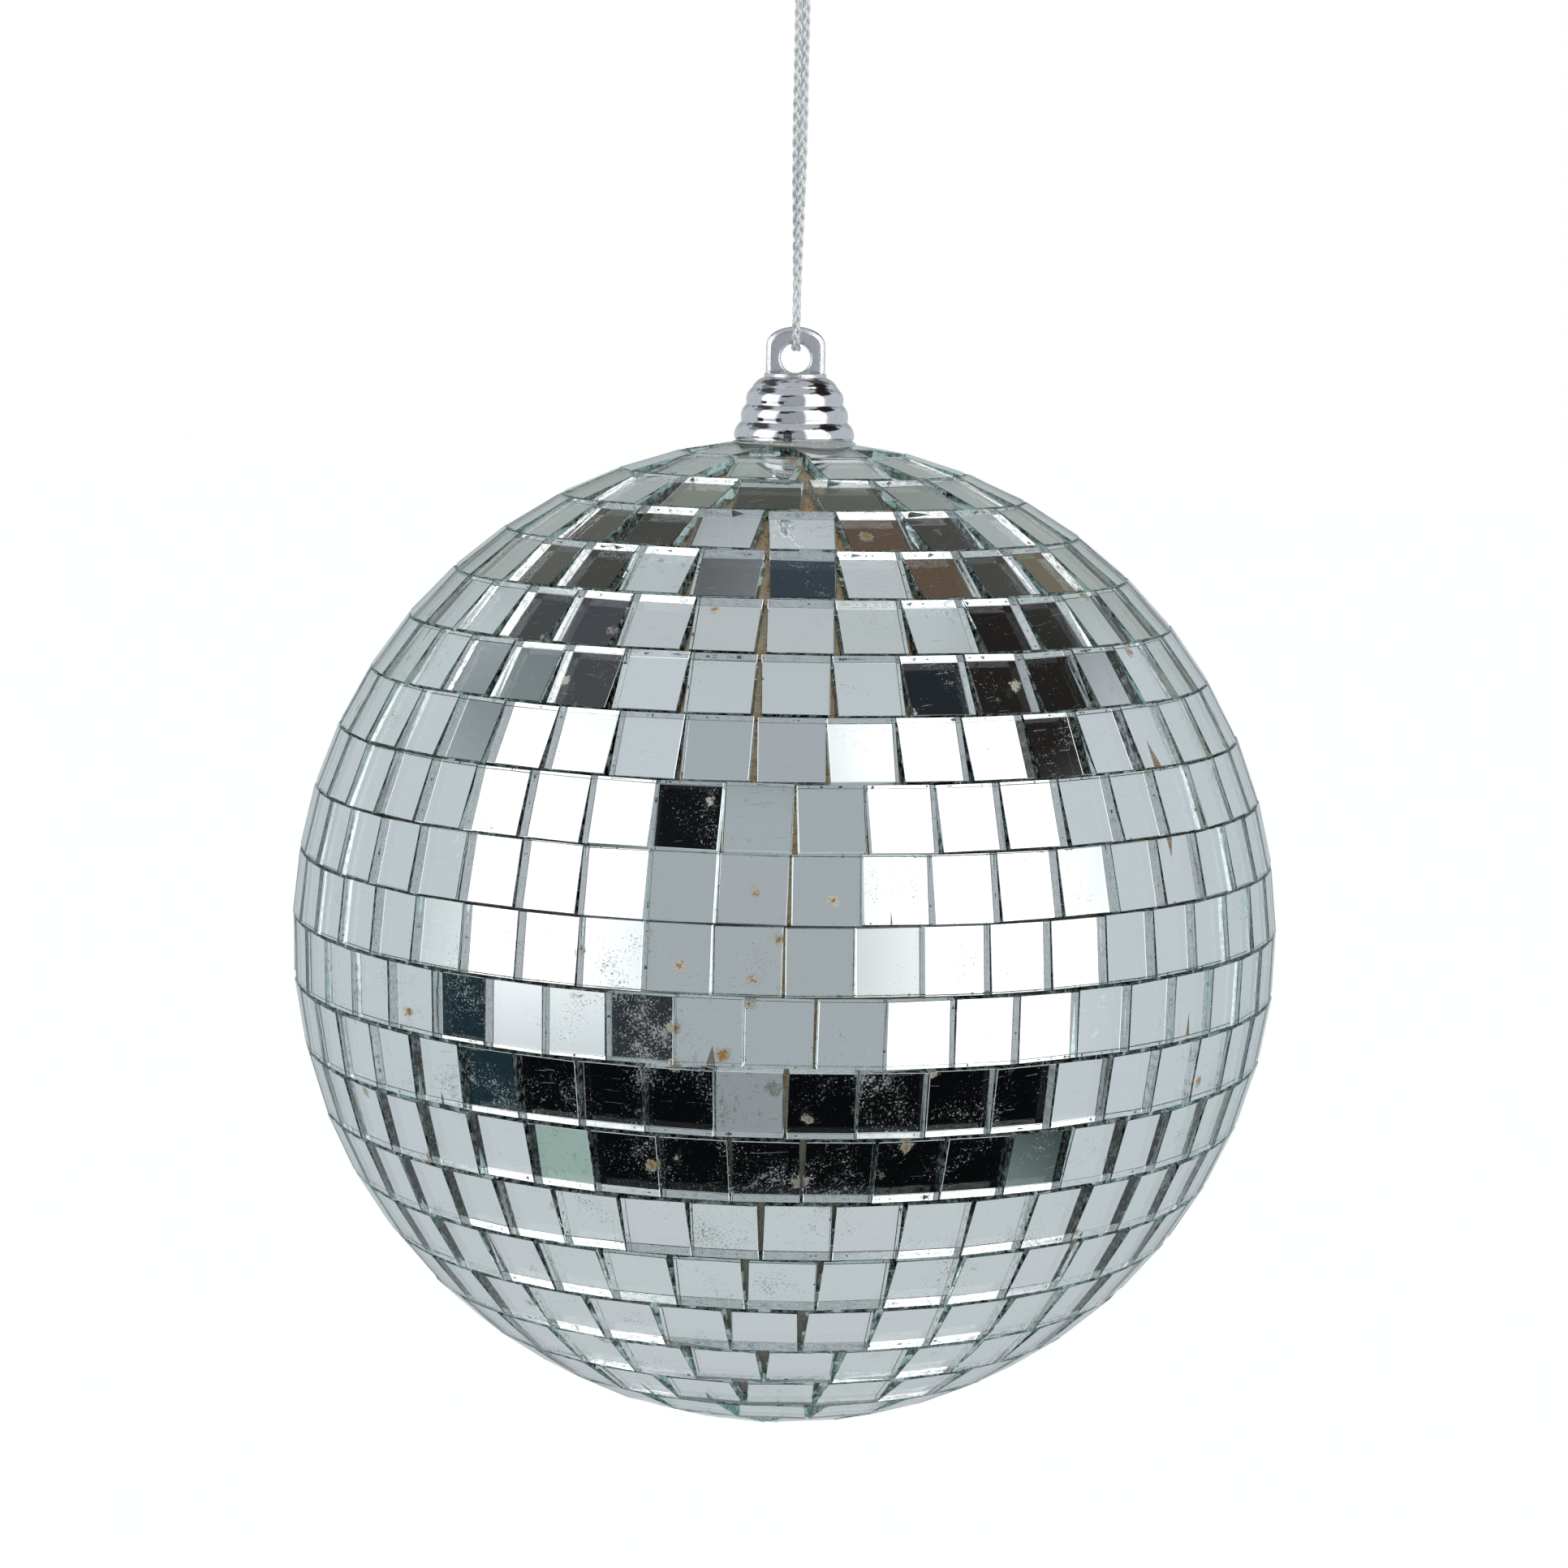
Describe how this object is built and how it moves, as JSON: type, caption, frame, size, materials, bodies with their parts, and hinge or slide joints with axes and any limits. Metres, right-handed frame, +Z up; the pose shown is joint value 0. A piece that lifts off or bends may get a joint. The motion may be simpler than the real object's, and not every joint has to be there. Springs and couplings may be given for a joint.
{
  "type": "mirror ball",
  "caption": "Hanging mirror ball: glass mirror tiles in strips on a foam core, with a chromed beehive cap, an eyelet peg and a looped silver thread to hang it by.",
  "frame": {"origin": "the hanging point, on the inside of the crown of the thread's loop, straight above the ball's centre", "axes": "+Z up along the thread, +Y away from the front, so the front with the strips' seams faces -Y and the eyelet's hole looks along Y; +X to the right"},
  "size_m": [0.1558, 0.1559, 0.2502],
  "materials": {
    "mirror_tiles": "silvered glass, cut square and unpolished at the edges",
    "foam": "expanded polystyrene beads, matte",
    "glue": "hot-melt glue, waxy",
    "chromed_plastic": "vacuum-metallised ABS, glossy",
    "lurex_thread": "crocheted silver lurex"
  },
  "bodies": {
    "hanger": {"hanging_loop": "lurex_thread"},
    "knot": {"loop_knot": "lurex_thread"},
    "thread": {"thread_strand_front": "lurex_thread", "thread_strand_back": "lurex_thread"},
    "eyelet_thread": {"thread_bight": "lurex_thread"},
    "ball": {"foam_core": "foam", "mirror_strip_upper_01": "mirror_tiles", "mirror_strip_upper_02": "mirror_tiles", "mirror_strip_upper_03": "mirror_tiles", "mirror_strip_upper_04": "mirror_tiles", "mirror_strip_upper_05": "mirror_tiles", "mirror_strip_upper_06": "mirror_tiles", "mirror_strip_upper_07": "mirror_tiles", "mirror_strip_upper_08": "mirror_tiles", "mirror_strip_upper_09": "mirror_tiles", "mirror_strip_upper_10": "mirror_tiles", "mirror_strip_upper_11": "mirror_tiles", "mirror_strip_lower_01": "mirror_tiles", "mirror_strip_lower_02": "mirror_tiles", "mirror_strip_lower_03": "mirror_tiles", "mirror_strip_lower_04": "mirror_tiles", "mirror_strip_lower_05": "mirror_tiles", "mirror_strip_lower_06": "mirror_tiles", "mirror_strip_lower_07": "mirror_tiles", "mirror_strip_lower_08": "mirror_tiles", "mirror_strip_lower_09": "mirror_tiles", "mirror_strip_lower_10": "mirror_tiles", "mirror_strip_lower_11": "mirror_tiles", "bottom_tile": "mirror_tiles", "cap_glue": "glue", "cap_dome": "chromed_plastic", "eyelet_peg": "chromed_plastic"}
  },
  "joints": [
    {"name": "swing_sideways", "type": "hinge", "parent": "hanger", "child": "knot", "pos_m": [0, 0, -0.0185], "axis": [0, 1, 0], "range_deg": [-40, 40]},
    {"name": "swing_forward", "type": "hinge", "parent": "knot", "child": "thread", "pos_m": [0, 0, -0.0185], "axis": [1, 0, 0], "range_deg": [-40, 40]},
    {"name": "ball_spin", "type": "hinge", "parent": "thread", "child": "eyelet_thread", "pos_m": [0, 0, -0.07945], "axis": [0, 0, 1], "continuous": true},
    {"name": "eyelet_tilt", "type": "hinge", "parent": "eyelet_thread", "child": "ball", "pos_m": [0, 0, -0.07945], "axis": [0, 1, 0], "range_deg": [-45, 45]}
  ]
}
